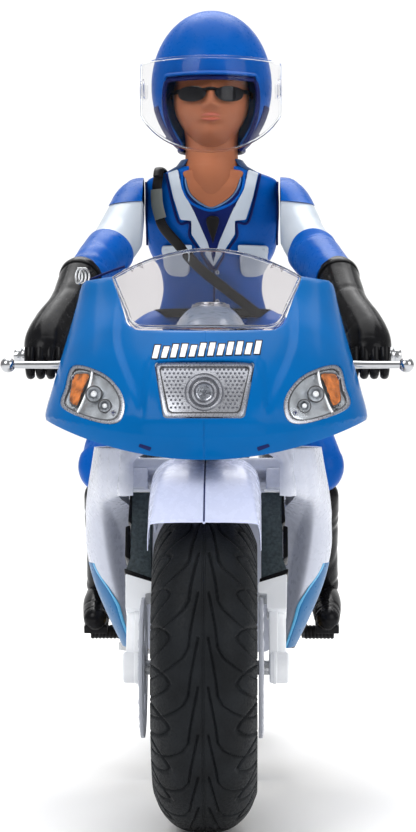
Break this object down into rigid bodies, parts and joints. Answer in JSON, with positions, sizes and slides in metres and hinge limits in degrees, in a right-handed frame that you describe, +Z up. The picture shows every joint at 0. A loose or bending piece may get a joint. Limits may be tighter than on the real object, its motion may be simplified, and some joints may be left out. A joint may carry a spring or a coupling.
{
  "type": "wind-up motorcycle toy",
  "caption": "Moulded toy police motorcycle with a seated rider, a swept fairing and clear screen, steerable fork, rolling wheels and a clockwork drive under the belly.",
  "frame": {"origin": "on the ground, midway between the two axles, in the middle of the width", "axes": "+Z up; the motorcycle faces -Y; +X is its left side"},
  "size_m": [0.1172, 0.29, 0.2437],
  "materials": {
    "white_plastic": "moulded, glossy",
    "blue_plastic": "moulded, pearl gloss",
    "uniform_plastic": "moulded, satin",
    "slate_plastic": "moulded, satin",
    "frame_plastic": "moulded, satin",
    "black_plastic": "moulded, glossy",
    "seat_plastic": "grained",
    "silver_plastic": "silver moulding",
    "plated_plastic": "bright plating",
    "clear_plastic": "clear moulding",
    "red_plastic": "tinted moulding",
    "skin_plastic": "moulded, matt",
    "tyre_rubber": "soft, matt",
    "steel": "bright drawn",
    "brass": "stamped"
  },
  "bodies": {
    "chassis": {"frame": "frame_plastic", "front_bulkhead": "white_plastic", "side_panel_left": "white_plastic", "side_panel_right": "white_plastic", "lower_trim_left": "blue_plastic", "lower_trim_right": "blue_plastic", "nose_fairing": "blue_plastic", "windshield": "clear_plastic", "grille_panel": "plated_plastic", "center_lamp": "clear_plastic", "headlamp_tray_left": "plated_plastic", "headlamp_tray_right": "plated_plastic", "headlamp_lens_left": "clear_plastic", "headlamp_lens_right": "clear_plastic", "fuel_tank": "white_plastic", "seat": "seat_plastic", "tail_cowl": "white_plastic", "tail_lamp": "red_plastic", "swingarm": "silver_plastic", "exhaust": "plated_plastic", "handlebar_left": "black_plastic", "handlebar_right": "black_plastic", "lever_left": "plated_plastic", "lever_right": "plated_plastic", "rear_axle": "steel", "motor_plate_left": "brass", "motor_plate_right": "brass", "rider_torso": "uniform_plastic", "rider_legs": "uniform_plastic", "boot_left": "black_plastic", "boot_right": "black_plastic"},
    "fork": {"fork_leg_left": "silver_plastic", "fork_leg_right": "silver_plastic", "fork_cover_left": "slate_plastic", "fork_cover_right": "slate_plastic", "fork_yoke": "white_plastic", "front_fender": "white_plastic", "front_axle": "steel"},
    "front_wheel": {"front_tyre": "tyre_rubber", "front_rim": "silver_plastic", "brake_disc_left": "steel", "brake_disc_right": "steel"},
    "rear_wheel": {"rear_tyre": "tyre_rubber", "rear_rim": "silver_plastic"},
    "key": {"winding_key": "steel", "mainspring": "steel"},
    "great_gear": {"great_wheel": "brass"},
    "second_gear": {"second_wheel": "brass"},
    "drive": {"drive_axle": "steel", "drive_wheel_left": "tyre_rubber", "drive_wheel_right": "tyre_rubber"},
    "stand": {"side_stand": "black_plastic"},
    "head": {"rider_head": "skin_plastic", "helmet": "uniform_plastic"},
    "face_shield": {"visor": "clear_plastic"},
    "arm_l": {"arm_left": "uniform_plastic", "glove_left": "black_plastic"},
    "arm_r": {"arm_right": "uniform_plastic", "glove_right": "black_plastic"}
  },
  "joints": [
    {"name": "steer", "type": "hinge", "parent": "chassis", "child": "fork", "pos_m": [0, -0.09124, 0.045], "axis": [0, 0.4067, 0.9135], "range_deg": [-10, 10]},
    {"name": "front_wheel_spin", "type": "hinge", "parent": "fork", "child": "front_wheel", "pos_m": [0, -0.1, 0.045], "axis": [1, 0, 0], "continuous": true},
    {"name": "rear_wheel_spin", "type": "hinge", "parent": "chassis", "child": "rear_wheel", "pos_m": [0, 0.1, 0.045], "axis": [1, 0, 0], "continuous": true},
    {"name": "key_wind", "type": "hinge", "parent": "chassis", "child": "key", "pos_m": [0, -0.00406, 0.04272], "axis": [1, 0, 0], "continuous": true},
    {"name": "great_wheel_spin", "type": "hinge", "parent": "chassis", "child": "great_gear", "pos_m": [0, -0.00406, 0.04272], "axis": [1, 0, 0], "continuous": true},
    {"name": "second_wheel_spin", "type": "hinge", "parent": "chassis", "child": "second_gear", "pos_m": [0, -0.00805, 0.02394], "axis": [1, 0, 0], "continuous": true},
    {"name": "drive_axle_spin", "type": "hinge", "parent": "chassis", "child": "drive", "pos_m": [0, 0, 0.012], "axis": [1, 0, 0], "continuous": true},
    {"name": "stand_swing", "type": "hinge", "parent": "chassis", "child": "stand", "pos_m": [0.0225, -0.014, 0.047], "axis": [-1, 0, 0], "range_deg": [0, 75]},
    {"name": "head_turn", "type": "hinge", "parent": "chassis", "child": "head", "pos_m": [0, 0.006, 0.1944], "axis": [0, 0, 1], "range_deg": [-40, 40]},
    {"name": "visor_lift", "type": "hinge", "parent": "head", "child": "face_shield", "pos_m": [0, -0.002, 0.217], "axis": [-1, 0, 0], "range_deg": [0, 50]},
    {"name": "shoulder_left", "type": "hinge", "parent": "chassis", "child": "arm_l", "pos_m": [0.022, 0.012, 0.185], "axis": [-1, 0, 0], "range_deg": [0, 75]},
    {"name": "shoulder_right", "type": "hinge", "parent": "chassis", "child": "arm_r", "pos_m": [-0.022, 0.012, 0.185], "axis": [-1, 0, 0], "range_deg": [0, 75]}
  ],
  "couplings": [
    {"joint": "second_wheel_spin", "follows": "drive_axle_spin", "ratio": -0.5},
    {"joint": "great_wheel_spin", "follows": "drive_axle_spin", "ratio": 0.16667}
  ]
}
